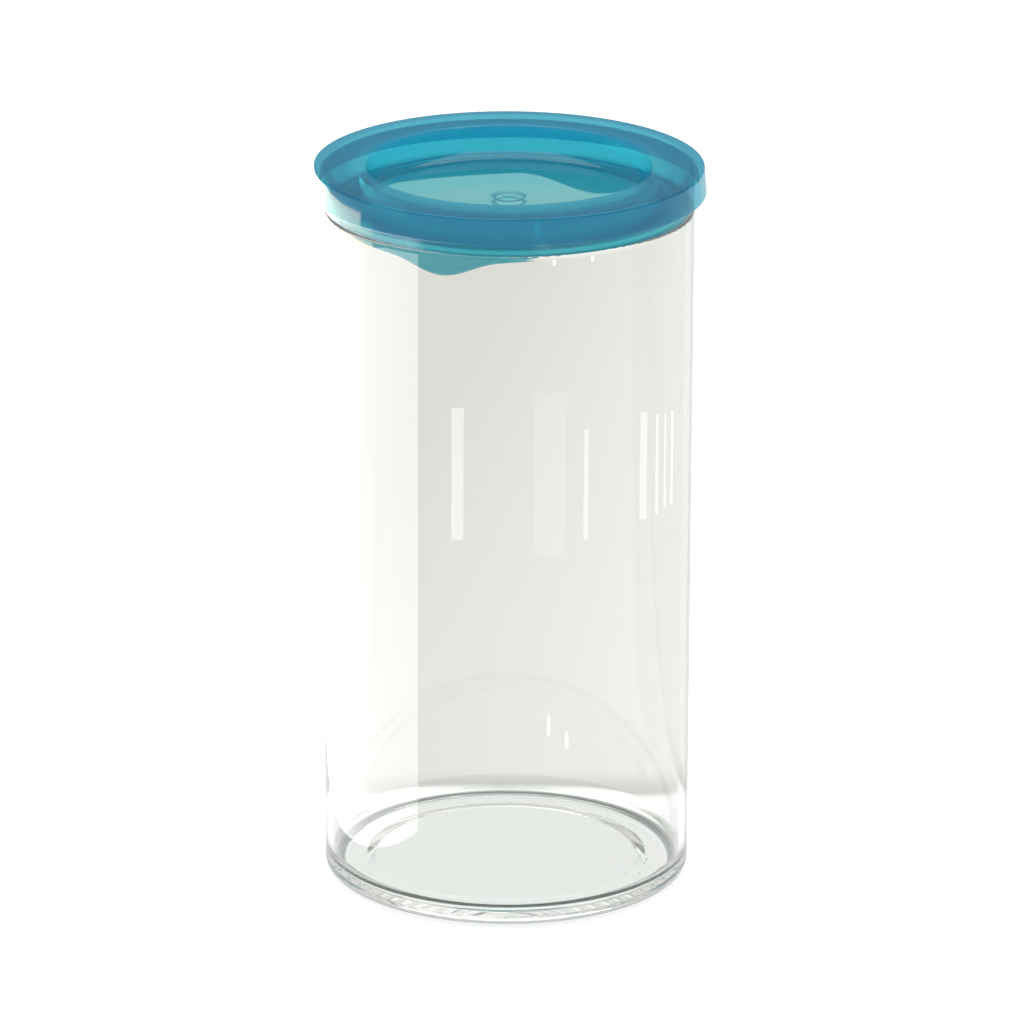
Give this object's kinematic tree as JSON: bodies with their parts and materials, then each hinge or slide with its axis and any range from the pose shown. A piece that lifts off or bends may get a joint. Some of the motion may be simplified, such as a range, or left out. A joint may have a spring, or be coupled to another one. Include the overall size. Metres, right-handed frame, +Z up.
{
  "type": "glass storage canister",
  "caption": "Straight-sided clear glass storage canister with a translucent press-in lid: a dished rigid cap and a soft seal ring whose wavy skirt fits inside the mouth.",
  "frame": {"origin": "centre of the flat ring that the canister stands on", "axes": "+Z up along the canister's axis towards the lid; -Y towards the front, with the skirt's tab front left"},
  "size_m": [0.1064, 0.1064, 0.2006],
  "materials": {
    "clear_glass": "clear polished glass",
    "cap_plastic": "glossy translucent blue-green moulding",
    "seal_rubber": "soft translucent blue-green elastomer, satin"
  },
  "bodies": {
    "jar": {"glass_jar": "clear_glass"},
    "seal": {"seal_ring": "seal_rubber"},
    "cap": {"lid_cap": "cap_plastic"}
  },
  "joints": [
    {"name": "lid_lift", "type": "slide", "parent": "jar", "child": "seal", "axis": [0, 0, 1], "range_m": [0, 0.04]},
    {"name": "cap_turn", "type": "hinge", "parent": "seal", "child": "cap", "pos_m": [0, 0, 0.19], "axis": [0, 0, 1], "continuous": true}
  ]
}
